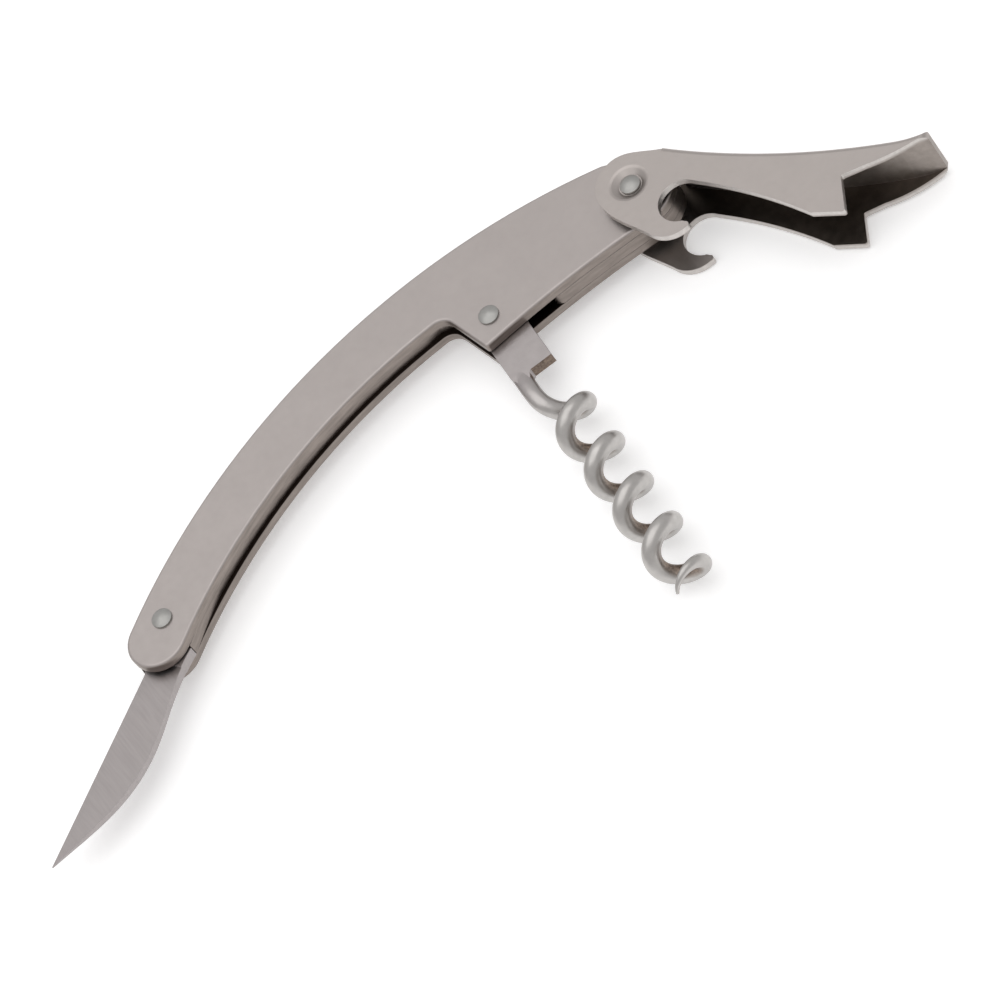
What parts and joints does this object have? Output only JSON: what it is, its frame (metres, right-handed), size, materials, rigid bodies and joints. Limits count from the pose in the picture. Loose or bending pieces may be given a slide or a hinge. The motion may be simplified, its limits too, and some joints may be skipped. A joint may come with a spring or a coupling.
{
  "type": "lever corkscrew",
  "caption": "Folding lever corkscrew: curved plated handle with a coiled worm, a stepped folded-sheet lever with a cap-lifter hook, and a foil knife.",
  "frame": {"origin": "on the plane the corkscrew lies on, straight under the axis of the worm's hinge", "axes": "+X along the handle towards the lever, +Y towards the handle's rounded back, +Z from the lying plane up through the handle, along every hinge axis"},
  "size_m": [0.1734, 0.0811, 0.0117],
  "materials": {
    "plates": "satin tumbled stainless sheet",
    "spring_steel": "ground stamping edge",
    "rivets": "polished rivet heads",
    "worm_steel": "drawn and tumbled wire",
    "lever_sheet": "satin tumbled folded sheet",
    "blade_steel": "flat ground blade"
  },
  "bodies": {
    "handle": {"front_plate": "plates", "back_plate": "plates", "spring": "spring_steel", "spring_dowel": "rivets", "knife_rivet": "rivets", "worm_rivet": "rivets", "lever_rivet": "rivets"},
    "worm": {"worm": "worm_steel"},
    "lever": {"lever": "lever_sheet"},
    "knife": {"knife": "blade_steel"}
  },
  "joints": [
    {"name": "worm_pivot", "type": "hinge", "parent": "handle", "child": "worm", "pos_m": [0, 0, 0.00575], "axis": [0, 0, 1], "range_deg": [-75, 0]},
    {"name": "lever_pivot", "type": "hinge", "parent": "handle", "child": "lever", "pos_m": [0.0296, -0.00115, 0.00575], "axis": [0, 0, 1], "range_deg": [-76, 38]},
    {"name": "knife_pivot", "type": "hinge", "parent": "handle", "child": "knife", "pos_m": [-0.0688, -0.0019, 0.00575], "axis": [0, 0, 1], "range_deg": [-187, 0]}
  ]
}
